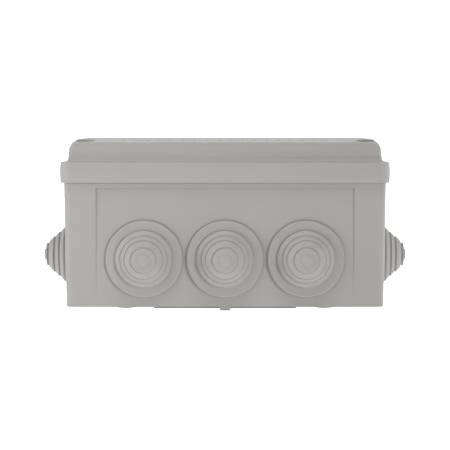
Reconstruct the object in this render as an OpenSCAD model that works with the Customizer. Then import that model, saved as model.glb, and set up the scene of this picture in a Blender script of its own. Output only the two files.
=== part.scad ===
// Surface-mounting electrical junction box with a screwed lid, ten stepped cable grommets
// and a screw terminal strip inside. Millimetres.
// The origin is the centre of the mounting plane: +X runs along the long side, +Z points
// from the wall towards the lid, and the base stands on z = 0.

/* [Lid] */
// Length of the lid skirt, the longest side of the box
lid_length = 155; // [145:1:175]
// Depth of the lid skirt, the shorter side of the box
lid_depth = 110; // [106:1:130]
// Height of the whole box above the mounting plane
box_height = 80.5; // [80:0.5:84]
// Height of the skirt's lower edge above the mounting plane
skirt_z = 60; // [58:0.5:61]
// Thickness of the skirt
skirt_wall = 1.5; // [1.4:0.05:1.6]
// How far the upper part of the lid stands in from the skirt
step_inset = 4.15; // [4:0.05:4.3]
// Width of the sloping margin along each long side of the top
margin_width = 13.7; // [12:0.1:15]
// How far that margin drops towards the long side
margin_drop = 1.7; // [1.4:0.1:1.8]
// How far the sloping top edge of each short end reaches in
end_reach = 3.3; // [3:0.1:3.4]
// Height of that sloping edge
end_drop = 4.4; // [4:0.1:4.8]

/* [Base] */
// Thickness of the base's side walls
wall = 2.2; // [2:0.1:2.4]
// Thickness of the floor
floor_wall = 2.5; // [2:0.1:3]
// How much each wall leans out over the height of the base
draft_out = 1; // [0.6:0.1:1.6]
// Clearance between the base and the inside of the skirt
skirt_gap = 0.25; // [0.25:0.05:0.35]
// Height of the pads and ribs under the floor
foot_height = 1.9; // [1.5:0.1:2.5]
// Depth of the shallow panel in each wall, at its upper edge
panel_depth = 0.5; // [0.3:0.1:0.6]

/* [Cable grommets] */
// Distance between neighbouring grommets on a long side
long_pitch = 38; // [37:0.5:39]
// Distance between the two grommets on a short side
short_pitch = 38; // [37:0.5:39]
// Height of the grommet centres above the mounting plane
grommet_z = 24.4; // [24:0.2:28]
// Radius of a grommet's outer flange
flange_r = 17.8; // [17.4:0.1:18]

/* [Lid screws] */
// Distance of a screw's axis from the short end of the lid's upper part
screw_end_inset = 6.4; // [6.3:0.05:7]
// Distance of a screw's axis from the long side of the lid's upper part
screw_side_inset = 5.9; // [5.9:0.05:7]
// Radius of the screw head
head_r = 4.4; // [4.2:0.05:4.5]
// Radius of the screw's neck
neck_r = 2.6; // [2.4:0.05:2.6]

/* [Wall fixing] */
// Hole spacing along the long side
fixing_x = 94.4; // [90:0.2:98]
// Hole spacing along the short side
fixing_y = 68.6; // [64:0.2:70]
// Radius of a fixing hole
fixing_r = 2.4; // [2:0.1:2.6]

/* [Terminal strip] */
// Number of poles
poles = 6; // [4:1:6]
// Distance between neighbouring poles
pole_pitch = 12; // [11.5:0.1:12.2]

/* [Hidden] */
$fn = 96;
HULL_FN = 32;
EPS = 0.01;
RUN_FIT = 0.06;

// lid levels
skirt_top = 69.8;
seal_ceiling = 68.5;
rib_z = 66;
rib_wall = 1;
skirt_corner_r = 5;
step_corner_r = 1.8;
upper_wall = 2;
end_bulge = 0.35;
end_steps = 8;
upper_length = lid_length - 2 * step_inset;
upper_depth = lid_depth - 2 * step_inset;

// base levels
rim_z = 67;
base_length = lid_length - 2 * skirt_wall - 2 * skirt_gap;
base_depth = lid_depth - 2 * skirt_wall - 2 * skirt_gap;
base_corner_r = 3.2;
floor_top = foot_height + floor_wall;
lean = draft_out / (rim_z - foot_height);
panel_margin = 15.2;
panel_top = 57.4;
panel_foot = foot_height + 1.5;

// gasket
gasket_low = rim_z + 0.05;
gasket_high = seal_ceiling - 0.05;

// grommet seats
seat_proud = 0.3;
seat_wall = 3;
seat_r = flange_r - 0.6;
bore_r = 13;
lip_r = 14.8;
lip_thick = 1.3;

// lid screws
screw_x = upper_length / 2 - screw_end_inset;
screw_y = upper_depth / 2 - screw_side_inset;
pocket_r = head_r + 0.3;
pocket_z = 75;
boss_r = 4.5;
post_r = 6.2;
post_top = rib_z - 0.2;
key_plate = 2;
key_cavity = 11;
key_r = neck_r + 0.15;
o_ring_r = 0.7;
o_ring_centre_r = neck_r + 0.1 + o_ring_r;
head_z = pocket_z + 2 * o_ring_r + 0.05;
head_top = box_height - 1.9;
lug_length = 8.4;
lug_width = 2.8;
lug_height = 2.2;
lug_top = post_top - key_plate - 0.3;

// terminal strip
boss_top = 12;
pole_width = 9.4;
tower_height = 16;
strip_depth = 20;
web_height = 5;
wire_z = boss_top + 6;
insert_r = 2.95;
wire_r = 2;
clamp_y = 5.2;
clamp_r = 1.45;
clamp_head_r = 2;
ear_x = poles * pole_pitch / 2 + 5;
ear_r = 5;
pin_r = 1.4;

function half_length_at(z) = base_length / 2 - (rim_z - z) * lean;
function half_depth_at(z) = base_depth / 2 - (rim_z - z) * lean;

// ---------- shared shapes ----------

module rounded_rect(length, depth, radius) {
    square([length - 2 * radius, depth], center = true);
    square([length, depth - 2 * radius], center = true);
    for (sx = [-1, 1], sy = [-1, 1])
        translate([sx * (length / 2 - radius), sy * (depth / 2 - radius)])
            circle(r = radius);
}

module plate(length, depth, radius, z0, z1) {
    translate([0, 0, z0])
        linear_extrude(z1 - z0)
            rounded_rect(length, depth, radius);
}

// a block with leaning walls, inset is taken off every wall
module leaning_block(z0, z1, inset, radius) {
    hull()
        for (z = [z0, z1 - EPS])
            plate(2 * (half_length_at(z) - inset), 2 * (half_depth_at(z) - inset),
                  radius, z, z + EPS, $fn = HULL_FN);
}

// draws a child outline out along Y, or along X when turned
module drawn_out(turn) {
    rotate([0, 0, turn])
        rotate([90, 0, 0])
            linear_extrude(2 * lid_length, center = true)
                children();
}

module at_corners(x, y) {
    for (sx = [-1, 1], sy = [-1, 1])
        translate([sx * x, sy * y, 0])
            children();
}

// places a child at a cable entry: its +Z then points out through the wall
module at_entry(side, offset) {
    long_y = half_depth_at(grommet_z) + seat_proud;
    short_x = half_length_at(grommet_z) + seat_proud;
    place = side == "front" ? [offset, -long_y, grommet_z]
          : side == "rear" ? [offset, long_y, grommet_z]
          : side == "left" ? [-short_x, offset, grommet_z]
          : [short_x, offset, grommet_z];
    turn = side == "front" ? [90, 0, 0]
         : side == "rear" ? [-90, 0, 0]
         : side == "left" ? [0, -90, 0]
         : [0, 90, 0];
    translate(place)
        rotate(turn)
            children();
}

module at_all_entries() {
    for (side = ["front", "rear"], i = [-1, 0, 1])
        at_entry(side, i * long_pitch) children();
    for (side = ["left", "right"], i = [-1, 1])
        at_entry(side, i * short_pitch / 2) children();
}

// ---------- base ----------

// shallow wedge that leaves a sunken panel, deepest at its upper edge
module panel_cut(width, face_top, face_foot) {
    rotate([90, 0, 90])
        linear_extrude(width, center = true)
            polygon([
                [face_foot, panel_foot], [face_foot + 1, panel_foot],
                [face_top + 1, panel_top], [face_top - panel_depth, panel_top]
            ]);
}

module panels() {
    for (turn = [0, 180])
        rotate([0, 0, turn]) {
            panel_cut(base_length - 2 * panel_margin,
                      half_depth_at(panel_top), half_depth_at(panel_foot));
            rotate([0, 0, 90])
                panel_cut(base_depth - 2 * panel_margin,
                          half_length_at(panel_top), half_length_at(panel_foot));
        }
}

module corner_posts() {
    web_reach = half_length_at(skirt_z) - wall + 0.3;
    web_side = half_depth_at(skirt_z) - wall + 0.3;
    web_top = skirt_z - 2;
    for (sx = [-1, 1], sy = [-1, 1])
        scale([sx, sy, 1]) {
            translate([screw_x, screw_y, floor_top - 1])
                cylinder(r = post_r, h = post_top - floor_top + 1);
            translate([screw_x, screw_y - 1.2, floor_top - 1])
                cube([web_reach - screw_x, 2.4, web_top - floor_top + 1]);
            translate([screw_x - 1.2, screw_y, floor_top - 1])
                cube([2.4, web_side - screw_y, web_top - floor_top + 1]);
        }
}

// keyhole through a post's top, over the hollow where the screw's lugs turn
module keyholes() {
    at_corners(screw_x, screw_y) {
        translate([0, 0, post_top - key_plate - key_cavity])
            cylinder(r = lug_length / 2 + 0.4, h = key_cavity);
        translate([0, 0, post_top - key_plate - 1])
            cylinder(r = key_r, h = key_plate + 2);
        translate([0, 0, post_top - key_plate / 2])
            cube([lug_length + 0.5, lug_width + 0.5, key_plate + 2], center = true);
    }
}

// raised rectangle, cross rib and four round pads that stand on the wall
module underside() {
    plate(68, 82.6, 1.5, 0, foot_height + 1);
    translate([0, 0, (foot_height + 1) / 2])
        cube([5, 2 * half_depth_at(foot_height), foot_height + 1], center = true);
    at_corners(fixing_x / 2, fixing_y / 2)
        cylinder(r = 5.35, h = foot_height + 1);
}

module base() {
    color("#adaca8")
    difference() {
        union() {
            difference() {
                leaning_block(foot_height, rim_z, 0, base_corner_r);
                leaning_block(floor_top, rim_z + 1, wall, base_corner_r - 1.2);
                panels();
            }
            at_all_entries()
                translate([0, 0, -seat_wall])
                    cylinder(r = seat_r, h = seat_wall);
            corner_posts();
            underside();
            at_corners(fixing_x / 2, fixing_y / 2)
                translate([0, 0, floor_top - 1])
                    cylinder(r = 6, h = 2.5);
            for (sx = [-1, 1])
                translate([sx * ear_x, 0, floor_top - 1])
                    cylinder(r = 4, h = boss_top - floor_top + 1);
        }
        at_all_entries()
            translate([0, 0, -seat_wall - 2])
                cylinder(r = bore_r, h = seat_wall + 4);
        keyholes();
        at_corners(fixing_x / 2, fixing_y / 2)
            translate([0, 0, -1])
                cylinder(r = fixing_r, h = floor_top + 5);
        for (sx = [-1, 1])
            translate([sx * ear_x, 0, boss_top - 7])
                cylinder(r = pin_r + RUN_FIT, h = 8);
    }
}

// ---------- lid ----------

// a point on the gently bulging top edge of a short end, from 0 at its foot to 1 at the top
function end_point(half, top, share) =
    let (bulge = end_bulge * 4 * share * (1 - share),
         outward = [end_drop, end_reach] / norm([end_drop, end_reach]))
    [half - end_reach * share, top - end_drop * (1 - share)] + bulge * outward;

// outline across the short ends, inset from the outside
module end_profile(inset) {
    half = upper_length / 2 - inset;
    top = box_height - inset;
    right = [for (i = [0 : end_steps]) end_point(half, top, i / end_steps)];
    left = [for (i = [end_steps : -1 : 0]) [-right[i][0], right[i][1]]];
    polygon(concat([[-half, 0], [half, 0]], right, left));
}

// outline across the long sides, inset from the outside
module side_profile(inset) {
    half = upper_depth / 2 - inset;
    top = box_height - inset;
    polygon([
        [-half, 0], [half, 0], [half, top - margin_drop], [half - margin_width, top],
        [margin_width - half, top], [-half, top - margin_drop]
    ]);
}

// the part of the lid above the skirt, inset from the outside and standing on z0
module lid_crown(inset, corner_r, z0) {
    intersection() {
        plate(upper_length - 2 * inset, upper_depth - 2 * inset, corner_r, z0, box_height);
        drawn_out(0) end_profile(inset);
        drawn_out(90) side_profile(inset);
    }
}

module lid_envelope() {
    plate(lid_length, lid_depth, skirt_corner_r, skirt_z, skirt_top);
    plate(lid_length - 1.2, lid_depth - 1.2, skirt_corner_r - 0.6, skirt_top - 1, skirt_top + 0.4);
    lid_crown(0, step_corner_r, skirt_z);
}

module lid() {
    skirt_inner_r = skirt_corner_r - skirt_wall;
    inner_length = upper_length - 2 * upper_wall;
    inner_depth = upper_depth - 2 * upper_wall;
    color("#b0afab")
    difference() {
        union() {
            difference() {
                lid_envelope();
                lid_crown(upper_wall, 1, skirt_z - 1);
                plate(lid_length - 2 * skirt_wall, lid_depth - 2 * skirt_wall,
                      skirt_inner_r, skirt_z - 1, seal_ceiling);
            }
            // rib that holds the gasket from inside
            difference() {
                plate(inner_length + 2 * rib_wall, inner_depth + 2 * rib_wall,
                      2, rib_z, seal_ceiling + 0.5);
                plate(inner_length, inner_depth, 1, rib_z - 1, seal_ceiling + 1);
            }
            intersection() {
                lid_crown(0, step_corner_r, skirt_z);
                at_corners(screw_x, screw_y) {
                    translate([0, 0, rib_z])
                        cylinder(r = boss_r, h = box_height - rib_z);
                    translate([0, 0, pocket_z - 1.6])
                        cylinder(r = post_r, h = box_height - pocket_z);
                }
            }
        }
        at_corners(screw_x, screw_y) {
            translate([0, 0, pocket_z])
                cylinder(r = pocket_r, h = 10);
            translate([0, 0, skirt_z])
                cylinder(r = neck_r + RUN_FIT, h = 20);
        }
    }
}

module lid_gasket() {
    outer_gap = 2 * (skirt_wall + 0.1);
    inner_gap = 2 * (rib_wall + 0.1) - 2 * upper_wall;
    color("#3b3c3e")
    difference() {
        plate(lid_length - outer_gap, lid_depth - outer_gap,
              skirt_corner_r - skirt_wall - 0.1, gasket_low, gasket_high);
        plate(upper_length + inner_gap, upper_depth + inner_gap,
              2.1, gasket_low - 1, gasket_high + 1);
    }
}

// ---------- lid screws ----------

// quarter-turn screw: slotted head, long neck and a cross bar of two lugs
module lid_screw(sx, sy) {
    slot_width = 1.4;
    slot_depth = 1.3;
    dome_r = 14;
    color("#8f8f8d")
    translate([sx * screw_x, sy * screw_y, 0])
        difference() {
            union() {
                intersection() {
                    translate([0, 0, head_z])
                        cylinder(r = head_r, h = head_top - head_z);
                    translate([0, 0, head_top - dome_r])
                        sphere(r = dome_r);
                }
                translate([0, 0, lug_top - lug_height])
                    cylinder(r = neck_r, h = head_z - lug_top + lug_height + 0.5);
                translate([0, 0, lug_top - lug_height / 2])
                    intersection() {
                        cube([lug_length, lug_width, lug_height], center = true);
                        cylinder(r = lug_length / 2, h = lug_height + 1, center = true);
                    }
            }
            translate([0, 0, head_top])
                cube([3 * head_r, slot_width, 2 * slot_depth], center = true);
        }
}

module screw_o_rings() {
    color("#2f3032")
    at_corners(screw_x, screw_y)
        translate([0, 0, pocket_z + o_ring_r])
            rotate_extrude()
                translate([o_ring_centre_r, 0])
                    circle(r = o_ring_r, $fn = 32);
}

// ---------- grommets ----------

// one stepped membrane grommet, standing on its seat at z = 0 with its nose towards +Z
module grommet() {
    flange_thick = 1.1;
    neck = bore_r - 0.05;
    color("#b3b2af")
    rotate_extrude()
        polygon([
            [0, 12.3], [2.45, 12.3], [3.05, 11.5],
            [5.3, 11.3], [5.73, 10.95], [5.73, 9.95], [6.58, 9.95],
            [8.82, 7.75], [8.82, 6.65], [9.26, 6.65],
            [10.92, 5], [10.92, 4.15], [11.5, 4.15],
            [13.3, 2.55], [13.3, flange_thick],
            [flange_r - 0.3, flange_thick], [flange_r, flange_thick - 0.3], [flange_r, 0.02],
            [neck, 0.02], [neck, -seat_wall - 0.02],
            [lip_r, -seat_wall - 0.02], [lip_r - 0.9, -seat_wall - lip_thick],
            [11.6, -seat_wall - lip_thick], [11.6, 2.3],
            [9.6, 3.6], [7.6, 5.9], [4.6, 8.9], [0, 10.6]
        ]);
}

// ---------- terminal strip ----------

module at_poles() {
    for (i = [0 : poles - 1])
        translate([(i - (poles - 1) / 2) * pole_pitch, 0, 0])
            children();
}

module terminal_strip() {
    color("#d8d6cb")
    translate([0, 0, 0.02])
    difference() {
        union() {
            at_poles()
                translate([-pole_width / 2, -strip_depth / 2, boss_top])
                    cube([pole_width, strip_depth, tower_height]);
            translate([-ear_x, -4.5, boss_top])
                cube([2 * ear_x, 9, web_height]);
            for (sx = [-1, 1])
                translate([sx * ear_x, 0, boss_top])
                    cylinder(r = ear_r, h = 3);
        }
        for (sx = [-1, 1])
            translate([sx * ear_x, 0, boss_top]) {
                translate([0, 0, -1])
                    cylinder(r = pin_r + 0.3, h = 10);
                translate([0, 0, 3])
                    cylinder(r = ear_r, h = 10);
            }
        at_poles() {
            translate([0, 0, wire_z])
                rotate([90, 0, 0])
                    cylinder(r = insert_r + 0.05, h = strip_depth + 2, center = true);
            for (sy = [-1, 1])
                translate([0, sy * clamp_y, wire_z])
                    cylinder(r = clamp_head_r + 0.3, h = tower_height);
        }
    }
}

// brass sleeves, one to a pole, each with two cross holes for its clamp screws
module terminal_inserts() {
    color("#c2a14e")
    at_poles()
        translate([0, 0, wire_z + 0.02])
            difference() {
                rotate([90, 0, 0])
                    difference() {
                        cylinder(r = insert_r, h = strip_depth - 2, center = true);
                        cylinder(r = wire_r, h = strip_depth, center = true);
                    }
                for (sy = [-1, 1])
                    translate([0, sy * clamp_y, 0])
                        cylinder(r = clamp_r + 0.05, h = insert_r + 1);
            }
}

module terminal_clamp_screws() {
    stem = 4.4;
    head = 3;
    color("#b9bcc0")
    at_poles()
        for (sy = [-1, 1])
            translate([0, sy * clamp_y, wire_z + 1.2])
                difference() {
                    union() {
                        cylinder(r = clamp_r, h = stem + 0.5);
                        translate([0, 0, stem])
                            cylinder(r = clamp_head_r, h = head);
                    }
                    translate([0, 0, stem + head])
                        cube([3 * clamp_head_r, 0.7, 2.2], center = true);
                }
}

module terminal_fixing_screws() {
    head = 2.2;
    seat = boss_top + 3.05;
    color("#b9bcc0")
    for (sx = [-1, 1])
        translate([sx * ear_x, 0, seat])
            difference() {
                union() {
                    translate([0, 0, -9])
                        cylinder(r = pin_r, h = 9.5);
                    cylinder(r = 3, h = head);
                }
                for (turn = [0, 90])
                    rotate([0, 0, turn])
                        translate([0, 0, head])
                            cube([3.6, 0.8, 2.4], center = true);
            }
}

base();
lid();
lid_gasket();
lid_screw(-1, -1);  // lid_screw_front_left
lid_screw(1, -1);  // lid_screw_front_right
lid_screw(-1, 1);  // lid_screw_rear_left
lid_screw(1, 1);  // lid_screw_rear_right
screw_o_rings();
at_entry("front", -long_pitch) grommet();  // grommet_front_left
at_entry("front", 0) grommet();  // grommet_front_centre
at_entry("front", long_pitch) grommet();  // grommet_front_right
at_entry("rear", -long_pitch) grommet();  // grommet_rear_left
at_entry("rear", 0) grommet();  // grommet_rear_centre
at_entry("rear", long_pitch) grommet();  // grommet_rear_right
at_entry("left", -short_pitch / 2) grommet();  // grommet_left_front
at_entry("left", short_pitch / 2) grommet();  // grommet_left_rear
at_entry("right", -short_pitch / 2) grommet();  // grommet_right_front
at_entry("right", short_pitch / 2) grommet();  // grommet_right_rear
terminal_strip();
terminal_inserts();
terminal_clamp_screws();
terminal_fixing_screws();
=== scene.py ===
"""Looks of the electrical junction box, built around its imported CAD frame.

The builders work in millimetres in the frame's own axes; finished pieces are scaled to metres.
"""
import math

import bmesh
import bpy
from mathutils import Matrix, Vector


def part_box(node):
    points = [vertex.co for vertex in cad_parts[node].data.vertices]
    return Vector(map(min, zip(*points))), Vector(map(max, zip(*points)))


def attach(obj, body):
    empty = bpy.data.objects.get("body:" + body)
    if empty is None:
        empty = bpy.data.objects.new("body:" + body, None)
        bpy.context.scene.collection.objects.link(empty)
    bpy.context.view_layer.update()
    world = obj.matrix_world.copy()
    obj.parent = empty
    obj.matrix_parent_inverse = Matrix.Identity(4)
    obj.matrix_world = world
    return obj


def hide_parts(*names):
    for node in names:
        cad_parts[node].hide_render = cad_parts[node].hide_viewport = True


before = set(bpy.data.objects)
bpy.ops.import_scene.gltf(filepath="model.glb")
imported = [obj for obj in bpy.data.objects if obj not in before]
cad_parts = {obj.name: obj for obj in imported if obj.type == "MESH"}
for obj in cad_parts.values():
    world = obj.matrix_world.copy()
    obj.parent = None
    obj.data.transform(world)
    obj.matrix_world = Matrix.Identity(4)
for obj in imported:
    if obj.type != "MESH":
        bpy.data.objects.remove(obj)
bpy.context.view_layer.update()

MM = 0.001
CORNER_STEPS = 10
LATHE_STEPS = 112
FILLET_STEPS = 4
TEMP = "tool"


# ---------- sizes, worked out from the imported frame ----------

def box_mm(node):
    """Lowest and highest corner of a CAD node, in millimetres."""
    low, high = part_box(node)
    return low / MM, high / MM


LID_LOW, LID_HIGH = box_mm("lid")
BASE_LOW, BASE_HIGH = box_mm("base")
GASKET_LOW, GASKET_HIGH = box_mm("lid_gasket")

TOP_Z = LID_HIGH.z
SKIRT_Z = LID_LOW.z
SKIRT_LENGTH = LID_HIGH.x - LID_LOW.x
SKIRT_DEPTH = LID_HIGH.y - LID_LOW.y
RIM_Z = BASE_HIGH.z
BASE_LENGTH = BASE_HIGH.x - BASE_LOW.x
BASE_DEPTH = BASE_HIGH.y - BASE_LOW.y

# lid
STEP_INSET = 4.15
UPPER_LENGTH = SKIRT_LENGTH - 2 * STEP_INSET
UPPER_DEPTH = SKIRT_DEPTH - 2 * STEP_INSET
MARGIN_WIDTH = 13.7
MARGIN_DROP = 1.6
END_REACH = 3.3
END_DROP = 4.4
END_BULGE = 0.35
END_NORMAL = (0.8, 0.6)
END_STEPS = 8
SIDE_FILLET = 1.75
EDGE_FILLET = 0.3
FLARE = 0.45
FLARE_HEIGHT = 4.5
FLARE_CURVE = [(1.0, 0), (0.9, 1.2), (0.35, 3.2)]   # share of the flare, height over the foot
UPPER_WALL = 2.0
SKIRT_CORNER = 5.0
SKIRT_TOP = 69.8
SKIRT_WALL = 1.5
SKIRT_BULGE = 0.28
SKIRT_STEPS = 12
SKIRT_LOWER_EDGE = [(0.2, 0), (0.04, 0.12)]         # inset past the bulge, height
SKIRT_UPPER_EDGE = [(0.05, -0.25), (0.2, -0.05), (0.4, 0)]
SHOULDER = [(1.7, 0.25), (2.4, 0.45)]               # inset, height over the skirt's top
HOLLOW_R = 1.5
HOLLOW_STEPS = 6
SEAL_CEILING = 68.5
RIB_Z = 66.0
BOSS_DEPTH = 1.5
GASKET_EDGE = 0.3
GASKET_CORNER = 3.25
GASKET_INNER_CORNER = 2.1
RIB_ROOM = 1.1
GROOVE_DROP = 0.75
GROOVE_BELOW = 0.9
GROOVE_ABOVE = 0.4
GROOVE_DEPTH = 0.2
DIMPLES = 18
DIMPLE_PITCH = 5.62
DIMPLE_INSET = 7.7
DIMPLE_R = 0.65
DIMPLE_MOUTH_R = 0.85
DIMPLE_DEPTH = 0.22

# base
FOOT_HEIGHT = 1.65
WALL = 2.2
FLOOR_TOP = 4.4
BASE_CORNER = 3.2
LEAN = 1.0 / (RIM_Z - FOOT_HEIGHT)
PANEL_MARGIN = 15.2
PANEL_TOP = 57.4
PANEL_FOOT = 3.4
PANEL_DEPTH = 0.5
PLATFORM_LENGTH = 68
PLATFORM_DEPTH = 82.6
PLATFORM_CORNER = 1.5
CROSS_RIB_HALF = 2.5
PAD_R = 5.35
COLLAR_R = 6
FLOOR_BOSS_R = 4
WEB_HALF = 1.2

# grommets
NOSE = 12.3
SEAT_WALL = 3.0
SEAT_R = 17.2
BORE_R = 13.0
FLANGE_R = 18.05
FLANGE_TOP = 1.1
UNDERCUT = 0.35
UNDERCUT_START = 0.75
UNDERCUT_END = 0.3
RING_TAPER = 0.05
SNUG = 0.05
SEAT_GAP = 0.02
# radius of each ring's edge, height of its top and height of its foot
RINGS = [(5.73, 10.95, 9.95), (8.82, 7.75, 6.65), (10.92, 5.0, 4.15), (13.3, 2.55, FLANGE_TOP)]
# radius and height where the cone goes on below the first three rings
CONE_STARTS = [(6.45, 9.95), (9.35, 6.65), (11.55, 4.1)]
NOSE_CORNERS = [(0, NOSE, 0), (2.45, NOSE, 0.08), (2.9, 11.5, 0.08), (5.3, 11.35, 0.1)]
LIP_CORNERS = [(14.8, -SEAT_GAP, 0.1), (14.3, -1.0, 0.3), (13.7, -1.3, 0.2), (11.6, -1.3, 0.2)]
INSIDE_CORNERS = [(11.6, 2.0, 0.5), (9.6, 3.4, 0.4), (7.6, 5.6, 0.4), (4.6, 8.6, 0.6), (0, 10.3, 0)]

# lid screws
SCREW_BOX = box_mm("lid_screw_rear_right")
SCREW = (SCREW_BOX[0] + SCREW_BOX[1]) / 2
HEAD_R = (SCREW_BOX[1].x - SCREW_BOX[0].x) / 2
NECK_R = 2.6
HEAD_LIFT = 1.45
POCKET_R = HEAD_R + 0.3
POCKET_Z = 75.0
POCKET_MOUTH = 0.6
POCKET_MOUTH_LOW = 2.3
POCKET_MOUTH_HIGH = 1.4
CUP_FLOOR = 1.6
O_RING_R = 0.7
O_RING_STEPS = 20
NECK_ROOM = 0.06
BOSS_R = 4.5
POST_R = 6.2
POST_TOP = RIB_Z - 0.2
KEY_PLATE = 2.0
KEY_CAVITY = 11.0
LUG_LENGTH = 8.4
LUG_WIDTH = 2.8
LUG_HEIGHT = 2.2
LUG_ROOM = 0.5
SLOT_HALF = 0.7
SLOT_DEPTH = 1.4

# wall fixing holes
FIXING_X = 47.2
FIXING_Y = 34.3
FIXING_R = 2.4

# terminal strip
STRIP_LOW, STRIP_HIGH = box_mm("terminal_strip")
INSERT_LOW, INSERT_HIGH = box_mm("terminal_inserts")
POLES = 6
POLE_PITCH = 12.0
POLE_WIDTH = 9.4
INSERT_R = (INSERT_HIGH.z - INSERT_LOW.z) / 2
WIRE_Z = (INSERT_HIGH.z + INSERT_LOW.z) / 2
WIRE_R = 2.0
CLAMP_Y = 5.2
EAR_R = 5.0
EAR_X = STRIP_HIGH.x - EAR_R
EAR_HEIGHT = 3
RAIL_HEIGHT = 5
PIN_R = 1.4
PIN_ROOM = 0.06

CORNERS = [(sx, sy) for sx in (-1, 1) for sy in (-1, 1)]


# ---------- mesh tools ----------

def new_object(name, points, faces):
    """A mesh object from points in millimetres, with its normals pointing out."""
    mesh = bpy.data.meshes.new(name)
    mesh.from_pydata([tuple(p) for p in points], [], faces)
    work = bmesh.new()
    work.from_mesh(mesh)
    bmesh.ops.recalc_face_normals(work, faces=work.faces)
    work.to_mesh(mesh)
    work.free()
    obj = bpy.data.objects.new(name, mesh)
    bpy.context.scene.collection.objects.link(obj)
    return obj


def loft(name, rings):
    """A closed solid through rings that hold equal counts of points."""
    count = len(rings[0])
    points = [p for ring in rings for p in ring]
    faces = []
    for level in range(len(rings) - 1):
        for i in range(count):
            j = (i + 1) % count
            a = level * count
            b = a + count
            faces.append((a + i, a + j, b + j, b + i))
    faces.append(tuple(range(count))[::-1])
    faces.append(tuple(range(len(points) - count, len(points))))
    return new_object(name, points, faces)


def rounded_ring(length, depth, radius, z):
    """Points round a rectangle with rounded corners."""
    ring = []
    for quarter, (sx, sy) in enumerate([(1, 1), (-1, 1), (-1, -1), (1, -1)]):
        cx = sx * (length / 2 - radius)
        cy = sy * (depth / 2 - radius)
        for step in range(CORNER_STEPS + 1):
            angle = math.pi / 2 * (quarter + step / CORNER_STEPS)
            ring.append((cx + radius * math.cos(angle), cy + radius * math.sin(angle), z))
    return ring


def slab(length, depth, radius, z0, z1):
    return loft(TEMP, [rounded_ring(length, depth, radius, z) for z in (z0, z1)])


def block(low, high):
    """A rectangular solid between two corners."""
    (x0, y0, z0), (x1, y1, z1) = low, high
    rings = [[(x0, y0, z), (x1, y0, z), (x1, y1, z), (x0, y1, z)] for z in (z0, z1)]
    return loft(TEMP, rings)


def rounded_outline(corners, steps=FILLET_STEPS):
    """An outline of (a, b, radius) corners with each corner turned into an arc."""
    outline = []
    last = len(corners) - 1
    for i, (a, b, radius) in enumerate(corners):
        here = Vector((a, b))
        if radius <= 0 or i in (0, last):
            outline.append((a, b))
            continue
        to_prev = Vector(corners[i - 1][:2]) - here
        to_next = Vector(corners[i + 1][:2]) - here
        half = to_prev.angle(to_next) / 2
        reach = radius / math.tan(half)
        reach = min(reach, 0.48 * to_prev.length, 0.48 * to_next.length)
        start = here + to_prev.normalized() * reach
        end = here + to_next.normalized() * reach
        bend = to_prev.normalized() + to_next.normalized()
        centre = here + bend.normalized() * (reach / math.cos(half))
        first = (start - centre).normalized()
        final = (end - centre).normalized()
        size = (start - centre).length
        turn = first.angle_signed(final)
        for step in range(steps + 1):
            spoke = first.copy()
            spoke.rotate(Matrix.Rotation(-turn * step / steps, 2))
            outline.append(tuple(centre + spoke * size))
    return outline


def lathe(name, outline, closed=False, steps=LATHE_STEPS):
    """A solid turned about Z from an outline of (radius, height) points."""
    points = []
    rows = []
    for r, z in outline:
        if r < 1e-6:
            rows.append([len(points)])
            points.append((0, 0, z))
            continue
        rows.append(list(range(len(points), len(points) + steps)))
        for i in range(steps):
            angle = 2 * math.pi * i / steps
            points.append((r * math.cos(angle), r * math.sin(angle), z))
    pairs = list(zip(rows, rows[1:]))
    if closed:
        pairs.append((rows[-1], rows[0]))
    faces = []
    for lower, upper in pairs:
        for i in range(steps):
            j = (i + 1) % steps
            corners = [lower[i % len(lower)], lower[j % len(lower)],
                       upper[j % len(upper)], upper[i % len(upper)]]
            face = list(dict.fromkeys(corners))
            if len(face) > 2:
                faces.append(tuple(face))
    return new_object(name, points, faces)


def rod(radius, z0, z1, at=(0, 0), edge=0.0, steps=64):
    """An upright cylinder, with its ends' edges rounded by edge."""
    outline = rounded_outline([(0, z0, 0), (radius, z0, edge), (radius, z1, edge), (0, z1, 0)])
    obj = lathe(TEMP, outline, steps=steps)
    return shifted(obj, Matrix.Translation((at[0], at[1], 0)))


def prism(outline, low, high, axis):
    """A solid with a flat outline, drawn out along X or Y from low to high."""
    if axis == "x":
        rings = [[(w, a, b) for a, b in outline] for w in (low, high)]
    else:
        rings = [[(a, w, b) for a, b in outline] for w in (low, high)]
    return loft(TEMP, rings)


def shifted(obj, matrix):
    obj.data.transform(matrix)
    if matrix.determinant() < 0:
        obj.data.flip_normals()
    return obj


def mirrored(build):
    """Runs a builder for all four corners and returns the four solids."""
    made = []
    for sx, sy in CORNERS:
        made.append(shifted(build(), Matrix.Diagonal((sx, sy, 1, 1))))
    return made


def combine(target, tools, operation):
    """Adds solids to a target, or cuts them out of it."""
    for tool in tools:
        step = target.modifiers.new("step", "BOOLEAN")
        step.operation = operation
        step.solver = "MANIFOLD"
        step.object = tool
    graph = bpy.context.evaluated_depsgraph_get()
    mesh = bpy.data.meshes.new_from_object(target.evaluated_get(graph))
    target.modifiers.clear()
    target.data = mesh
    for tool in tools:
        bpy.data.objects.remove(tool)
    return target


def join_solids(name, solids):
    """One object from separate solids that don't touch."""
    work = bmesh.new()
    for solid in solids:
        work.from_mesh(solid.data)
        bpy.data.objects.remove(solid)
    mesh = bpy.data.meshes.new(name)
    work.to_mesh(mesh)
    work.free()
    obj = bpy.data.objects.new(name, mesh)
    bpy.context.scene.collection.objects.link(obj)
    return obj


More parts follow.
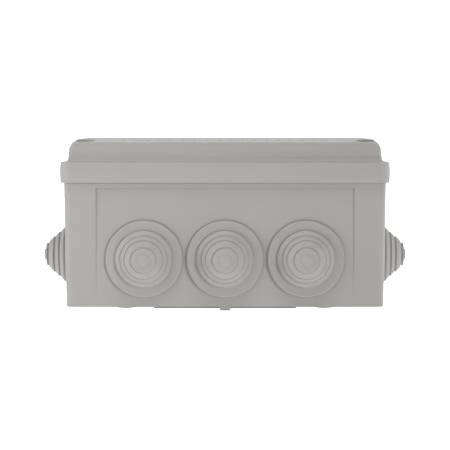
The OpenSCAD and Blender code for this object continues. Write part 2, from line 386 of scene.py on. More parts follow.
def finish_piece(obj, name, body, nodes, material, sharp=34):
    """Scales a piece to metres, shades it and hands it to the frame."""
    obj.name = name
    obj.data.name = name
    obj.data.transform(Matrix.Scale(MM, 4))
    obj.data.materials.clear()
    obj.data.materials.append(material)
    obj.data.polygons.foreach_set("use_smooth", [True] * len(obj.data.polygons))
    obj.data.set_sharp_from_angle(angle=math.radians(sharp))
    weighted = obj.modifiers.new("weighted", "WEIGHTED_NORMAL")
    weighted.keep_sharp = True
    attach(obj, body)
    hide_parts(*nodes)
    return obj


# ---------- materials ----------

class Nodes:
    """Short calls for building a material's node tree."""

    def __init__(self, name):
        self.material = bpy.data.materials.new(name)
        self.material.use_nodes = True
        self.tree = self.material.node_tree
        self.tree.nodes.clear()
        self.output = self.tree.nodes.new("ShaderNodeOutputMaterial")
        self.shader = self.tree.nodes.new("ShaderNodeBsdfPrincipled")
        self.link(self.shader.outputs[0], self.output.inputs["Surface"])
        self.place = self.tree.nodes.new("ShaderNodeNewGeometry").outputs["Position"]

    def link(self, source, target):
        self.tree.links.new(source, target)

    def put(self, target, value):
        if isinstance(value, bpy.types.NodeSocket):
            self.link(value, target)
        else:
            target.default_value = value

    def noise(self, scale, detail=2.0, roughness=0.5, stretch=(1, 1, 1)):
        """Noise of the given number of cells per metre."""
        place = self.place
        if stretch != (1, 1, 1):
            mapping = self.tree.nodes.new("ShaderNodeMapping")
            mapping.inputs["Scale"].default_value = stretch
            self.link(place, mapping.inputs["Vector"])
            place = mapping.outputs[0]
        node = self.tree.nodes.new("ShaderNodeTexNoise")
        self.link(place, node.inputs["Vector"])
        node.inputs["Scale"].default_value = scale
        node.inputs["Detail"].default_value = detail
        node.inputs["Roughness"].default_value = roughness
        return node.outputs["Fac"]

    def spread(self, value, low, high, from_low=0.3, from_high=0.7):
        node = self.tree.nodes.new("ShaderNodeMapRange")
        self.put(node.inputs["Value"], value)
        node.inputs["From Min"].default_value = from_low
        node.inputs["From Max"].default_value = from_high
        node.inputs["To Min"].default_value = low
        node.inputs["To Max"].default_value = high
        return node.outputs[0]

    def math(self, operation, a, b):
        node = self.tree.nodes.new("ShaderNodeMath")
        node.operation = operation
        self.put(node.inputs[0], a)
        self.put(node.inputs[1], b)
        return node.outputs[0]

    def mix(self, factor, a, b, blend="MIX"):
        node = self.tree.nodes.new("ShaderNodeMix")
        node.data_type = "RGBA"
        node.blend_type = blend
        self.put(node.inputs["Factor"], factor)
        self.put(node.inputs["A"], a)
        self.put(node.inputs["B"], b)
        return node.outputs["Result"]

    def crevice(self, distance, samples=6):
        """0 deep in a narrow gap, 1 in the open."""
        node = self.tree.nodes.new("ShaderNodeAmbientOcclusion")
        node.samples = samples
        node.inputs["Distance"].default_value = distance
        return node.outputs["AO"]

    def soft_edges(self, radius, samples=4):
        node = self.tree.nodes.new("ShaderNodeBevel")
        node.samples = samples
        node.inputs["Radius"].default_value = radius
        return node.outputs["Normal"]

    def bump(self, height, strength, distance, normal=None):
        node = self.tree.nodes.new("ShaderNodeBump")
        node.inputs["Strength"].default_value = strength
        node.inputs["Distance"].default_value = distance
        self.link(height, node.inputs["Height"])
        if normal is not None:
            self.link(normal, node.inputs["Normal"])
        return node.outputs["Normal"]


def grey(value, warmth=0.0):
    """A linear grey, a little warm."""
    return (value * (1 + warmth), value, value * (1 - 1.6 * warmth), 1)


def moulded(name, tone, warmth, rough, grain=0.00002, crease_shade=0.55, edge=0.0001):
    """Injection-moulded plastic: spark-eroded grain, faint flow clouds and painted shade that darkens
    its crevices.
    """
    n = Nodes(name)
    clouds = n.spread(n.noise(22, 3), 0, 1)
    colour = n.mix(clouds, grey(tone * 0.985, warmth), grey(tone * 1.015, warmth * 0.7))
    specks = n.spread(n.noise(5200, 1), 0.985, 1.0, 0.25, 0.45)
    colour = n.mix(1.0, colour, n.mix(specks, grey(0), grey(1)), "MULTIPLY")
    # painted shade: ambient occlusion darkens the colour in gaps, corners and under overhangs, where
    # shadow falls
    painted_crease_shade = n.spread(n.crevice(0.0008, 8), crease_shade, 1.0, 0.45, 0.78)
    colour = n.mix(1.0, colour, n.mix(painted_crease_shade, grey(0), grey(1)), "MULTIPLY")
    n.put(n.shader.inputs["Base Color"], colour)
    n.put(n.shader.inputs["Roughness"], n.spread(n.noise(90, 3), rough - 0.03, rough + 0.04))
    n.put(n.shader.inputs["Specular IOR Level"], 0.42)
    fine = n.noise(2600, 2, 0.6)
    coarse = n.noise(160, 2)
    height = n.math("ADD", n.math("MULTIPLY", fine, 0.7), n.math("MULTIPLY", coarse, 0.8))
    n.put(n.shader.inputs["Normal"], n.bump(height, 0.35, grain, n.soft_edges(edge)))
    return n.material


def soft_pvc(name, tone, warmth):
    """Soft grommet PVC: smoother and a touch waxier than the box, with painted shade darkening its ring
    grooves.
    """
    n = Nodes(name)
    clouds = n.spread(n.noise(60, 3), 0, 1)
    colour = n.mix(clouds, grey(tone * 0.98, warmth), grey(tone * 1.02, warmth * 0.6))
    # painted shade: ambient occlusion darkens the ring grooves and the gaps round the flange, where
    # shadow falls
    painted_crease_shade = n.spread(n.crevice(0.0007, 8), 0.6, 1.0, 0.2, 0.85)
    colour = n.mix(1.0, colour, n.mix(painted_crease_shade, grey(0), grey(1)), "MULTIPLY")
    n.put(n.shader.inputs["Base Color"], colour)
    n.put(n.shader.inputs["Roughness"], n.spread(n.noise(140, 3), 0.5, 0.6))
    n.put(n.shader.inputs["Subsurface Weight"], 0.05)
    n.put(n.shader.inputs["Subsurface Radius"], (0.0012, 0.0011, 0.001))
    n.put(n.shader.inputs["Specular IOR Level"], 0.4)
    height = n.math("ADD", n.noise(1800, 2), n.math("MULTIPLY", n.noise(240, 2), 0.8))
    n.put(n.shader.inputs["Normal"], n.bump(height, 0.3, 0.00002, n.soft_edges(0.00012)))
    return n.material


def seal_rubber(name):
    """Black sponge rubber with a fine open skin and a bloom of dust."""
    n = Nodes(name)
    bloom = n.spread(n.noise(300, 4), 0, 1, 0.35, 0.75)
    n.put(n.shader.inputs["Base Color"], n.mix(bloom, grey(0.012), grey(0.035)))
    n.put(n.shader.inputs["Roughness"], n.spread(bloom, 0.6, 0.85, 0, 1))
    n.put(n.shader.inputs["Normal"], n.bump(n.noise(1500, 3, 0.6), 0.5, 0.00005))
    return n.material


def metal(name, colour, dark, rough, stretch):
    """Drawn or plated metal with fine tool lines and duller patches."""
    n = Nodes(name)
    lines = n.noise(900, 3, 0.6, stretch)
    dull = n.spread(n.noise(220, 3), 0, 1)
    n.put(n.shader.inputs["Base Color"], n.mix(dull, colour, dark))
    n.put(n.shader.inputs["Metallic"], 1.0)
    n.put(n.shader.inputs["Roughness"], n.spread(lines, rough, rough + 0.18))
    n.put(n.shader.inputs["Normal"], n.bump(lines, 0.25, 0.00003, n.soft_edges(0.00012)))
    return n.material


# the last argument of each call sets how dark the painted shade in crevices gets
BOX_PLASTIC = moulded("box_plastic", 0.41, 0.029, 0.46, crease_shade=0.34)
SCREW_PLASTIC = moulded("screw_plastic", 0.3, 0.01, 0.42, crease_shade=0.5)
TERMINAL_PLASTIC = moulded("terminal_plastic", 0.62, 0.03, 0.38)
GROMMET_PVC = soft_pvc("grommet_pvc", 0.41, 0.031)
SEAL_RUBBER = seal_rubber("seal_rubber")
BRASS = metal("terminal_brass", (0.62, 0.42, 0.15, 1), (0.45, 0.28, 0.09, 1), 0.22, (1, 0.05, 1))
ZINC = metal("plated_steel", (0.62, 0.64, 0.67, 1), (0.48, 0.49, 0.5, 1), 0.24, (1, 1, 0.15))


# ---------- lid ----------

def margin_top(y, depth, top):
    """Height of the crown's top at a distance y from the middle."""
    into = max(0.0, abs(y) - (depth / 2 - MARGIN_WIDTH))
    return top - MARGIN_DROP * into / MARGIN_WIDTH


def end_height(share, top):
    """Height of a sloping end at a share of its way in."""
    return top - END_DROP * (1 - share)


def crown_section(half, top, level, foot, flare):
    """Outline in X and Z across the crown: flared walls, sloping ends and a flat top at a level."""
    reach = min(1.0, (level - end_height(0, top)) / END_DROP)
    right = [(half + flare * share, foot + rise, 0) for share, rise in FLARE_CURVE]
    for step in range(END_STEPS + 1):
        share = reach * step / END_STEPS
        bulge = END_BULGE * 4 * share * (1 - share)
        x = half - END_REACH * share + bulge * END_NORMAL[0]
        radius = EDGE_FILLET if step in (0, END_STEPS) else 0
        right.append((x, end_height(share, top) + bulge * END_NORMAL[1], radius))
    left = [(-x, z, radius) for x, z, radius in reversed(right)]
    return rounded_outline(right + left)


def crown(length, depth, top, foot, side_fillet, edge_fillet, flare):
    """The upper part of the lid: sections set one behind another along Y."""
    def fillet(radius, into):
        if into >= radius:
            return 0.0
        return radius - math.sqrt(radius ** 2 - (radius - into) ** 2)

    steps = [0, 0.03, 0.1, 0.2, 0.32, 0.45, 0.7, 1.0, 1.35, 1.75]
    half_depth = depth / 2
    stations = [(-half_depth + into, into) for into in steps]
    stations += [(-half_depth + MARGIN_WIDTH, steps[-1])]
    stations += [(-y, into) for y, into in reversed(stations)]
    rings = []
    for y, into in stations:
        side = fillet(side_fillet, into)
        level = margin_top(y, depth, top) - fillet(edge_fillet, into)
        ring = []
        for x, z in crown_section(length / 2 - side, top, level, foot, flare):
            lean = flare * max(0.0, 1 - (z - foot) / FLARE_HEIGHT)
            ring.append((x, y + math.copysign(lean, y), z))
        rings.append(ring)
    return loft(TEMP, rings)


def skirt():
    """Skirt with a slight bulge, a crisp upper edge, a sloping shoulder and a hollow fillet."""
    height = SKIRT_TOP - SKIRT_Z
    levels = [(SKIRT_BULGE + inset, SKIRT_Z + rise) for inset, rise in SKIRT_LOWER_EDGE]
    for step in range(1, SKIRT_STEPS):
        share = step / SKIRT_STEPS
        levels.append((SKIRT_BULGE * (1 - math.sin(math.pi * share)), SKIRT_Z + height * share))
    levels += [(SKIRT_BULGE + inset, SKIRT_TOP + rise) for inset, rise in SKIRT_UPPER_EDGE]
    levels += [(inset, SKIRT_TOP + rise) for inset, rise in SHOULDER]
    hollow_inset, hollow_rise = SHOULDER[-1]
    for step in range(1, HOLLOW_STEPS + 1):
        angle = math.pi / 2 * step / HOLLOW_STEPS
        inset = hollow_inset + HOLLOW_R * math.sin(angle)
        levels.append((inset, SKIRT_TOP + hollow_rise + HOLLOW_R * (1 - math.cos(angle))))
    levels.append((STEP_INSET + 1, levels[-1][1] + 0.02))
    rings = []
    for inset, z in levels:
        rings.append(rounded_ring(SKIRT_LENGTH - 2 * inset, SKIRT_DEPTH - 2 * inset,
                                  max(SKIRT_CORNER - inset, 0.6), z))
    return loft("lid", rings)


def groove_cuts():
    """A very shallow groove under the upper edge of each long side."""
    z = TOP_Z - MARGIN_DROP - GROOVE_DROP
    face = UPPER_DEPTH / 2
    reach = UPPER_LENGTH / 2 - SIDE_FILLET
    cuts = []
    for side in (-1, 1):
        outline = [(side * (face + 1), z - GROOVE_BELOW), (side * face, z - GROOVE_BELOW),
                   (side * (face - GROOVE_DEPTH), z),
                   (side * face, z + GROOVE_ABOVE), (side * (face + 1), z + GROOVE_ABOVE)]
        cuts.append(prism(outline, -reach, reach, "x"))
    return cuts


def dimple_cuts():
    """A row of small dimples along the sloping margin of each long side."""
    y = UPPER_DEPTH / 2 - DIMPLE_INSET
    top = margin_top(y, UPPER_DEPTH, TOP_Z)
    outline = [(0, top - DIMPLE_DEPTH), (DIMPLE_R, top - DIMPLE_DEPTH),
               (DIMPLE_MOUTH_R, top + 1), (0, top + 1)]
    cuts = []
    for side in (-1, 1):
        for i in range(DIMPLES):
            place = Matrix.Translation(((i - (DIMPLES - 1) / 2) * DIMPLE_PITCH, side * y, 0))
            cuts.append(shifted(lathe(TEMP, outline, steps=16), place))
    return cuts


def screw_corner_cuts():
    """Head pockets and neck holes."""
    def pocket():
        mouth_r = POCKET_R + POCKET_MOUTH
        outline = [(0, POCKET_Z, 0), (POCKET_R, POCKET_Z, 0.2), (POCKET_R, TOP_Z - POCKET_MOUTH_LOW, 0),
                   (mouth_r, TOP_Z - POCKET_MOUTH_HIGH, 0), (mouth_r, TOP_Z + 2, 0), (0, TOP_Z + 2, 0)]
        return shifted(lathe(TEMP, rounded_outline(outline), steps=72),
                       Matrix.Translation((SCREW.x, SCREW.y, 0)))

    def hole():
        return rod(NECK_R + NECK_ROOM, SKIRT_Z, POCKET_Z + 1, (SCREW.x, SCREW.y))

    return mirrored(pocket) + mirrored(hole)


def build_lid():
    inner_length = UPPER_LENGTH - 2 * UPPER_WALL
    inner_depth = UPPER_DEPTH - 2 * UPPER_WALL
    ceiling = TOP_Z - UPPER_WALL
    lid = skirt()
    outer = crown(UPPER_LENGTH, UPPER_DEPTH, TOP_Z, SKIRT_TOP + 0.2, SIDE_FILLET, EDGE_FILLET, FLARE)
    combine(lid, [outer], "UNION")
    hollow = crown(inner_length, inner_depth, ceiling, SKIRT_Z - 1, 1.0, 0.3, 0)
    channel = slab(SKIRT_LENGTH - 2 * SKIRT_WALL, SKIRT_DEPTH - 2 * SKIRT_WALL,
                   SKIRT_CORNER - SKIRT_WALL, SKIRT_Z - 1, SEAL_CEILING)
    combine(lid, [hollow, channel], "DIFFERENCE")
    rib = slab(inner_length + 2, inner_depth + 2, 2, RIB_Z, SEAL_CEILING + 0.5)
    combine(rib, [slab(inner_length, inner_depth, 1, RIB_Z - 1, SEAL_CEILING + 1)], "DIFFERENCE")
    bosses = mirrored(lambda: rod(BOSS_R, RIB_Z, ceiling - BOSS_DEPTH, (SCREW.x, SCREW.y)))
    cups = mirrored(lambda: rod(POST_R, POCKET_Z - CUP_FLOOR, TOP_Z + 1, (SCREW.x, SCREW.y)))
    envelope = crown(UPPER_LENGTH, UPPER_DEPTH, TOP_Z, RIB_Z - 2, SIDE_FILLET, EDGE_FILLET, 0)
    for cup in cups:
        keep = envelope.copy()
        keep.data = envelope.data.copy()
        bpy.context.scene.collection.objects.link(keep)
        combine(cup, [keep], "INTERSECT")
    bpy.data.objects.remove(envelope)
    combine(lid, [rib] + bosses + cups, "UNION")
    combine(lid, screw_corner_cuts() + groove_cuts() + dimple_cuts(), "DIFFERENCE")
    return finish_piece(lid, "lid_shell", "lid_unit", ["lid"], BOX_PLASTIC)


def build_gasket():
    outer = (GASKET_HIGH.x - GASKET_LOW.x, GASKET_HIGH.y - GASKET_LOW.y)
    inner = (UPPER_LENGTH - 2 * UPPER_WALL + 2 * RIB_ROOM, UPPER_DEPTH - 2 * UPPER_WALL + 2 * RIB_ROOM)
    low, high = GASKET_LOW.z, GASKET_HIGH.z
    edge = GASKET_EDGE
    past = 0.001
    sides = [(0, low + edge), (0, high - edge)]
    rings = [rounded_ring(outer[0] - 2 * i, outer[1] - 2 * i, GASKET_CORNER - i, z)
             for i, z in [(edge, low)] + sides + [(edge, high)]]
    gasket = loft("gasket", rings)
    rings = [rounded_ring(inner[0] + 2 * i, inner[1] + 2 * i, GASKET_INNER_CORNER + i, z)
             for i, z in [(edge, low - past)] + sides + [(edge, high + past)]]
    combine(gasket, [loft(TEMP, rings)], "DIFFERENCE")
    return finish_piece(gasket, "gasket_ring", "lid_unit", ["lid_gasket"], SEAL_RUBBER)


# ---------- lid screws ----------

def build_screw(sx, sy, node):
    """A slotted quarter-turn screw with two lugs at its foot."""
    low, high = box_mm(node)
    head_low = POCKET_Z + HEAD_LIFT
    outline = [(0, low.z, 0), (NECK_R - 0.4, low.z, 0.2), (NECK_R, low.z + 0.5, 0.1),
               (NECK_R, head_low, 0.15), (HEAD_R, head_low, 0.2), (HEAD_R, high.z - 0.9, 0.5),
               (HEAD_R * 0.6, high.z - 0.22, 1.5), (0, high.z, 0)]
    screw = lathe("screw", rounded_outline(outline), steps=72)
    lugs = slab(LUG_LENGTH, LUG_WIDTH, 0.8, low.z, low.z + LUG_HEIGHT)
    combine(lugs, [rod(LUG_LENGTH / 2, low.z - 1, low.z + LUG_HEIGHT + 1)], "INTERSECT")
    combine(screw, [lugs], "UNION")
    slot = block((-HEAD_R - 1, -SLOT_HALF, high.z - SLOT_DEPTH), (HEAD_R + 1, SLOT_HALF, high.z + 1))
    combine(screw, [slot], "DIFFERENCE")
    shifted(screw, Matrix.Translation((sx * SCREW.x, sy * SCREW.y, 0)))
    body = node.replace("lid_screw", "screw")
    return finish_piece(screw, node + "_part", body, [node], SCREW_PLASTIC)


def build_screws():
    for end, sy in (("front", -1), ("rear", 1)):
        for side, sx in (("left", -1), ("right", 1)):
            build_screw(sx, sy, "lid_screw_" + end + "_" + side)


def build_o_rings():
    r = O_RING_R
    centre = NECK_R + 0.1 + r
    outline = []
    for step in range(O_RING_STEPS):
        angle = 2 * math.pi * step / O_RING_STEPS
        outline.append((centre + r * math.cos(angle), POCKET_Z + r + r * math.sin(angle)))
    rings = mirrored(lambda: shifted(lathe(TEMP, outline, closed=True, steps=64),
                                     Matrix.Translation((SCREW.x, SCREW.y, 0))))
    obj = join_solids("o_rings", rings)
    return finish_piece(obj, "o_rings", "lid_unit", ["screw_o_rings"], SEAL_RUBBER, 60)


# ---------- base ----------

def half_length_at(z):
    return BASE_LENGTH / 2 - (RIM_Z - z) * LEAN


def half_depth_at(z):
    return BASE_DEPTH / 2 - (RIM_Z - z) * LEAN


def leaning(levels, radius):
    """Rings at (inset, z) levels that follow the leaning walls."""
    rings = []
    for inset, z in levels:
        rings.append(rounded_ring(2 * (half_length_at(z) - inset), 2 * (half_depth_at(z) - inset),
                                  max(radius - inset, 0.4), z))
    return rings


def entries():
    """Every cable entry's node name and the matrix that sets a grommet on its seat."""
    found = []
    for node in sorted(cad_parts):
        if not node.startswith("grommet_"):
            continue
        low, high = box_mm(node)
        mid = (low + high) / 2
        side = node.split("_")[1]
        if side == "front":
            seat, turn = (mid.x, low.y + NOSE, mid.z), Matrix.Rotation(math.pi / 2, 4, "X")
        elif side == "rear":
            seat, turn = (mid.x, high.y - NOSE, mid.z), Matrix.Rotation(-math.pi / 2, 4, "X")
        elif side == "left":
            seat, turn = (low.x + NOSE, mid.y, mid.z), Matrix.Rotation(-math.pi / 2, 4, "Y")
        else:
            seat, turn = (high.x - NOSE, mid.y, mid.z), Matrix.Rotation(math.pi / 2, 4, "Y")
        found.append((node, Matrix.Translation(seat) @ turn))
    return found


def panel_cuts():
    """Sunken panels, deepest at their upper edge and fading out at the foot."""
    cuts = []
    for half_at, span, axis in ((half_depth_at, BASE_LENGTH, "x"), (half_length_at, BASE_DEPTH, "y")):
        top, foot = half_at(PANEL_TOP), half_at(PANEL_FOOT)
        for side in (-1, 1):
            outline = [(side * foot, PANEL_FOOT), (side * (foot + 2), PANEL_FOOT),
                       (side * (top + 2), PANEL_TOP), (side * (top - PANEL_DEPTH), PANEL_TOP)]
            half = span / 2 - PANEL_MARGIN
            cuts.append(prism(outline, -half, half, axis))
    return cuts


def corner_post():
    """A post under a lid screw, tied to both walls by webs."""
    post = rod(POST_R, FLOOR_TOP - 1, POST_TOP, (SCREW.x, SCREW.y), edge=0.3)
    reach = half_length_at(SKIRT_Z) - WALL + 0.3
    side = half_depth_at(SKIRT_Z) - WALL + 0.3
    low, high = FLOOR_TOP - 1, SKIRT_Z - 2
    webs = [block((SCREW.x, SCREW.y - WEB_HALF, low), (reach, SCREW.y + WEB_HALF, high)),
            block((SCREW.x - WEB_HALF, SCREW.y, low), (SCREW.x + WEB_HALF, side, high))]
    return combine(post, webs, "UNION")


def keyhole():
    """The space cut into a post: a slot and throat through its top plate, a cavity below."""
    low = POST_TOP - KEY_PLATE - KEY_CAVITY
    cavity = rod(LUG_LENGTH / 2 + 0.4, low, POST_TOP - KEY_PLATE, (SCREW.x, SCREW.y))
    throat = rod(NECK_R + 0.15, POST_TOP - KEY_PLATE - 1, POST_TOP + 2, (SCREW.x, SCREW.y))
    half = (LUG_LENGTH + LUG_ROOM) / 2
    wide = (LUG_WIDTH + LUG_ROOM) / 2
    slot = block((SCREW.x - half, SCREW.y - wide, POST_TOP - KEY_PLATE - 0.8),
                 (SCREW.x + half, SCREW.y + wide, POST_TOP + 2))
    return combine(cavity, [throat, slot], "UNION")


def underside():
    """Raised rectangle, cross rib and four round pads that stand on the wall."""
    top = FOOT_HEIGHT + 1
    solids = [slab(PLATFORM_LENGTH, PLATFORM_DEPTH, PLATFORM_CORNER, 0, top)]
    depth = half_depth_at(FOOT_HEIGHT) - 0.02
    solids.append(block((-CROSS_RIB_HALF, -depth, 0), (CROSS_RIB_HALF, depth, top)))
    solids += mirrored(lambda: rod(PAD_R, 0, top, (FIXING_X, FIXING_Y), edge=0.5, steps=72))
    return solids


def build_base():
    outside = [(0.25, FOOT_HEIGHT), (0.07, FOOT_HEIGHT + 0.08), (0, FOOT_HEIGHT + 0.25),
               (0, RIM_Z - 0.3), (0.3, RIM_Z)]
    inside = [(WALL + 0.9, FLOOR_TOP), (WALL + 0.25, FLOOR_TOP + 0.25),
              (WALL, FLOOR_TOP + 0.9), (WALL, RIM_Z + 1)]
    shell = loft("base", leaning(outside, BASE_CORNER))
    cavity = loft(TEMP, leaning(inside, BASE_CORNER + 1))
    combine(shell, [cavity] + panel_cuts(), "DIFFERENCE")
    seats = [shifted(rod(SEAT_R, -SEAT_WALL, 0, edge=0.1, steps=96), place) for _, place in entries()]
    combine(shell, seats, "UNION")
    posts = mirrored(corner_post)
    fixing = (FIXING_X, FIXING_Y)
    collars = mirrored(lambda: rod(COLLAR_R, FLOOR_TOP - 1, FLOOR_TOP + 1.5, fixing, edge=0.3))
    bosses = [rod(FLOOR_BOSS_R, FLOOR_TOP - 1, STRIP_LOW.z - 0.02, (sx * EAR_X, 0), edge=0.2)
              for sx in (-1, 1)]
    combine(shell, posts + collars + bosses + underside(), "UNION")
    holes = [shifted(rod(BORE_R, -SEAT_WALL - 2, 2, steps=96), place) for _, place in entries()]
    holes += mirrored(keyhole)
    holes += mirrored(lambda: rod(FIXING_R, -1, FLOOR_TOP + 4, fixing))
    holes += [rod(PIN_R + PIN_ROOM, STRIP_LOW.z - 7, STRIP_LOW.z + 1, (sx * EAR_X, 0), steps=32)
              for sx in (-1, 1)]
    combine(shell, holes, "DIFFERENCE")
    return finish_piece(shell, "base_shell", "base_unit", ["base"], BOX_PLASTIC)


# ---------- grommets ----------

def grommet_outline():
    """Half section of a stepped membrane grommet, with every ring a little undercut."""
    inner = -SEAT_WALL
    corners = list(NOSE_CORNERS)
    for i, (radius, high, low) in enumerate(RINGS):
        corners += [(radius, high, 0.12), (radius - RING_TAPER, low + UNDERCUT_START, 0.08),
                    (radius - UNDERCUT, low + UNDERCUT_END, 0.08), (radius - UNDERCUT, low, 0.06)]
        if i < len(CONE_STARTS):
            corners.append((*CONE_STARTS[i], 0.12))
    corners += [(17.5, FLANGE_TOP, 0.25), (FLANGE_R, 0.8, 0.2), (FLANGE_R, SEAT_GAP, 0),
                (BORE_R - SNUG, SEAT_GAP, 0), (BORE_R - SNUG, inner - SEAT_GAP, 0)]
    corners += [(radius, inner + rise, edge) for radius, rise, edge in LIP_CORNERS]
    return rounded_outline(corners + INSIDE_CORNERS)


def build_grommets():
    outline = grommet_outline()
    for node, place in entries():
        obj = shifted(lathe("grommet", outline, steps=LATHE_STEPS), place)
        finish_piece(obj, node + "_part", "base_unit", [node], GROMMET_PVC, 40)


# ---------- terminal strip ----------

def pole_positions():
    return [(i - (POLES - 1) / 2) * POLE_PITCH for i in range(POLES)]


def lying_rod(radius, half, x, z, steps=48):
    """A cylinder along Y."""
    turn = Matrix.Translation((x, 0, z)) @ Matrix.Rotation(math.pi / 2, 4, "X")
    return shifted(rod(radius, -half, half, steps=steps), turn)


def build_strip():
    low, high = STRIP_LOW, STRIP_HIGH
    rail = slab(2 * EAR_X, 9, 1, low.z, low.z + RAIL_HEIGHT)
    levels = [(0.2, low.z), (0, low.z + 0.2), (0, high.z - 0.4), (0.12, high.z - 0.1), (0.4, high.z)]
    rings = [rounded_ring(POLE_WIDTH - 2 * i, high.y - low.y - 2 * i, 1.0 - i, z) for i, z in levels]
    towers = [shifted(loft(TEMP, rings), Matrix.Translation((x, 0, 0))) for x in pole_positions()]
    ears = [rod(EAR_R, low.z, low.z + EAR_HEIGHT, (sx * EAR_X, 0), edge=0.3) for sx in (-1, 1)]
    combine(rail, towers + ears, "UNION")
    cuts = []
    for sx in (-1, 1):
        cuts.append(rod(PIN_R + 0.3, low.z - 1, low.z + 9, (sx * EAR_X, 0)))
        cuts.append(rod(EAR_R, low.z + EAR_HEIGHT, low.z + 13, (sx * EAR_X, 0)))
    for x in pole_positions():
        cuts.append(lying_rod(INSERT_R + 0.05, 12, x, WIRE_Z))
        for sy in (-1, 1):
            cuts.append(rod(2.3, WIRE_Z, high.z + 1, (x, sy * CLAMP_Y)))
    combine(rail, cuts, "DIFFERENCE")
    return finish_piece(rail, "terminal_body", "base_unit", ["terminal_strip"],
                        TERMINAL_PLASTIC)


def build_inserts():
    sleeves = []
    half = (INSERT_HIGH.y - INSERT_LOW.y) / 2
    for x in pole_positions():
        outline = rounded_outline([(WIRE_R, -half, 0), (INSERT_R, -half, 0.3), (INSERT_R, half, 0.3),
                                   (WIRE_R, half, 0.2), (WIRE_R, -half, 0)])[:-1]
        tube = lathe(TEMP, outline, closed=True, steps=48)
        shifted(tube, Matrix.Translation((x, 0, WIRE_Z)) @ Matrix.Rotation(math.pi / 2, 4, "X"))
        holes = [rod(1.5, WIRE_Z, WIRE_Z + 4, (x, sy * CLAMP_Y), steps=32) for sy in (-1, 1)]
        sleeves.append(combine(tube, holes, "DIFFERENCE"))
    obj = join_solids("inserts", sleeves)
    return finish_piece(obj, "brass_inserts", "base_unit", ["terminal_inserts"], BRASS)


def build_clamp_screws():
    low, high = box_mm("terminal_clamp_screws")
    seat = high.z - 3
    outline = rounded_outline([(0, low.z, 0), (1.05, low.z, 0.1), (1.45, low.z + 0.4, 0.1),
                               (1.45, seat, 0.1), (2.0, seat, 0.1), (2.0, high.z, 0.25), (0, high.z, 0)])
    screws = []
    for x in pole_positions():
        for sy in (-1, 1):
            screw = lathe(TEMP, outline, steps=40)
            slot = block((-3, -0.35, high.z - 1.1), (3, 0.35, high.z + 1))
            combine(screw, [slot], "DIFFERENCE")
            angle = math.radians((37 * len(screws)) % 180)
            turn = Matrix.Translation((x, sy * CLAMP_Y, 0)) @ Matrix.Rotation(angle, 4, "Z")
            screws.append(shifted(screw, turn))
    obj = join_solids("clamp_screws", screws)
    return finish_piece(obj, "clamp_screws", "base_unit", ["terminal_clamp_screws"],
                        ZINC)


def build_fixing_screws():
    low, high = box_mm("terminal_fixing_screws")
    seat = high.z - 2.2
    outline = rounded_outline([(0, low.z, 0), (0.5, low.z, 0), (PIN_R, low.z + 1.4, 0.1),
                               (PIN_R, seat, 0.1), (3, seat, 0.2), (3, high.z - 1.2, 0.5),
                               (1.8, high.z, 0.6), (0, high.z, 0)])
    screws = []
    for sx in (-1, 1):
        screw = lathe(TEMP, outline, steps=48)
        cross = block((-1.8, -0.4, high.z - 1.2), (1.8, 0.4, high.z + 1))
        other = block((-0.4, -1.8, high.z - 1.2), (0.4, 1.8, high.z + 1))
        combine(screw, [cross, other], "DIFFERENCE")
        turn = Matrix.Translation((sx * EAR_X, 0, 0)) @ Matrix.Rotation(0.5 * sx, 4, "Z")
        screws.append(shifted(screw, turn))
    obj = join_solids("fixing_screws", screws)
    return finish_piece(obj, "fixing_screws", "base_unit", ["terminal_fixing_screws"],
                        ZINC)


# ---------- stage ----------

CAMERA_DISTANCE = 0.890
CAMERA_HEIGHT = 0.0892
CAMERA_TILT = 3.134
CAMERA_LENS = 152.45
SENSOR = 36.0
FLOOR_GAP = 0.0001   # keeps the floor just under the feet
FLOOR_SPAN = 6.0
FLOOR_STEPS = 24
BACKDROP_START = 1.5
BACKDROP_R = 2.0
FLOOR_GLOW = 0.5
FLOOR_SEEN_GLOW = 0.9
WORLD_LIGHT = 0.06
WORLD_SEEN = 1.0

MIDDLE = (0, 0, 0.04)
LIGHTS = [
    ("key", (2.45, -3.0, 0.9), (-0.13, -0.11, 0.04), (0.3, 0.3), 0.19, math.radians(9.6)),
    ("left_near", (-0.32, -0.34, 0.1), MIDDLE, (0.4, 0.3), 0.11, math.pi),
    ("left_side", (-1.3, -0.3, 0.3), MIDDLE, (0.9, 0.9), 8.5, math.pi),
    ("right_side", (1.4, 0.3, 0.3), MIDDLE, (0.9, 0.9), 7.0, math.pi),
    ("top_front", (0.0, -0.38, 1.2), MIDDLE, (1.0, 0.6), 6.7, math.pi),
    ("top_rear", (0.0, 0.8, 1.1), MIDDLE, (1.0, 0.6), 7.2, math.pi),
]


def build_camera():
    data = bpy.data.cameras.new("camera")
    data.sensor_width = SENSOR
    data.lens = CAMERA_LENS
    data.clip_start = 0.01
    camera = bpy.data.objects.new("camera", data)
    bpy.context.scene.collection.objects.link(camera)
    camera.location = (0, -SKIRT_DEPTH / 2 * MM - CAMERA_DISTANCE, CAMERA_HEIGHT)
    camera.rotation_euler = (math.radians(90 - CAMERA_TILT), 0, 0)
    bpy.context.scene.camera = camera


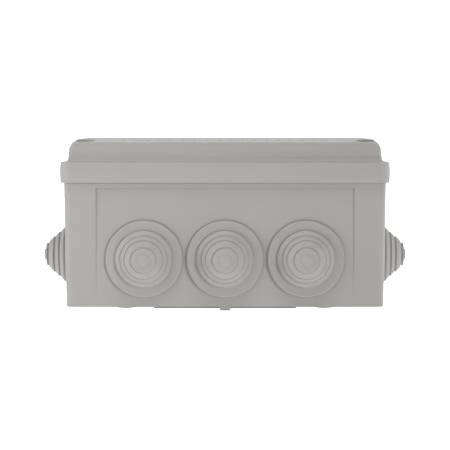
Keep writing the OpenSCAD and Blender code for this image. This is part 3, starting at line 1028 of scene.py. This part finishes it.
def build_floor():
    """A wide pale floor that curves up behind the object."""
    rows = []
    for step in range(FLOOR_STEPS + 1):
        share = step / FLOOR_STEPS
        if share < 0.5:
            rows.append((-FLOOR_SPAN + share * 2 * (FLOOR_SPAN + BACKDROP_START), -FLOOR_GAP))
        else:
            angle = math.pi / 2 * (share - 0.5) * 2
            rise = BACKDROP_R * (1 - math.cos(angle))
            rows.append((BACKDROP_START + BACKDROP_R * math.sin(angle), rise - FLOOR_GAP))
    points = []
    faces = []
    for y, z in rows:
        points += [(-FLOOR_SPAN, y, z), (FLOOR_SPAN, y, z)]
    for i in range(len(rows) - 1):
        a = 2 * i
        faces.append((a, a + 1, a + 3, a + 2))
    mesh = bpy.data.meshes.new("floor")
    mesh.from_pydata(points, [], faces)
    mesh.polygons.foreach_set("use_smooth", [True] * len(mesh.polygons))
    floor = bpy.data.objects.new("floor", mesh)
    bpy.context.scene.collection.objects.link(floor)
    n = Nodes("floor_paper")
    seen = n.tree.nodes.new("ShaderNodeLightPath").outputs["Is Camera Ray"]
    n.put(n.shader.inputs["Base Color"], n.mix(n.spread(n.noise(3, 2), 0, 1), grey(0.7), grey(0.72)))
    n.put(n.shader.inputs["Roughness"], 0.9)
    n.put(n.shader.inputs["Emission Color"], grey(1.0))
    glow = n.math("ADD", n.math("MULTIPLY", seen, FLOOR_SEEN_GLOW), FLOOR_GLOW)
    n.put(n.shader.inputs["Emission Strength"], glow)
    floor.data.materials.append(n.material)


def add_light(name, place, target, size, power, spread):
    """A rectangular lamp that the camera doesn't see."""
    data = bpy.data.lights.new(name, "AREA")
    data.shape = "RECTANGLE"
    data.size, data.size_y = size
    data.energy = power
    data.spread = spread
    light = bpy.data.objects.new(name, data)
    bpy.context.scene.collection.objects.link(light)
    light.location = place
    light.visible_camera = False
    aim = Vector(target) - Vector(place)
    light.rotation_euler = aim.to_track_quat("-Z", "Y").to_euler()


def build_lights():
    for light in LIGHTS:
        add_light(*light)
    world = bpy.data.worlds.new("studio")
    world.use_nodes = True
    tree = world.node_tree
    background = tree.nodes["Background"]
    background.inputs["Color"].default_value = (1, 1, 1, 1)
    path = tree.nodes.new("ShaderNodeLightPath")
    strength = tree.nodes.new("ShaderNodeMix")
    strength.inputs["A"].default_value = WORLD_LIGHT
    strength.inputs["B"].default_value = WORLD_SEEN
    tree.links.new(path.outputs["Is Camera Ray"], strength.inputs["Factor"])
    tree.links.new(strength.outputs["Result"], background.inputs["Strength"])
    bpy.context.scene.world = world
    bpy.context.scene.view_settings.view_transform = "Standard"


build_lid()
build_gasket()
build_screws()
build_o_rings()
build_base()
build_grommets()
build_strip()
build_inserts()
build_clamp_screws()
build_fixing_screws()
build_floor()
build_lights()
build_camera()
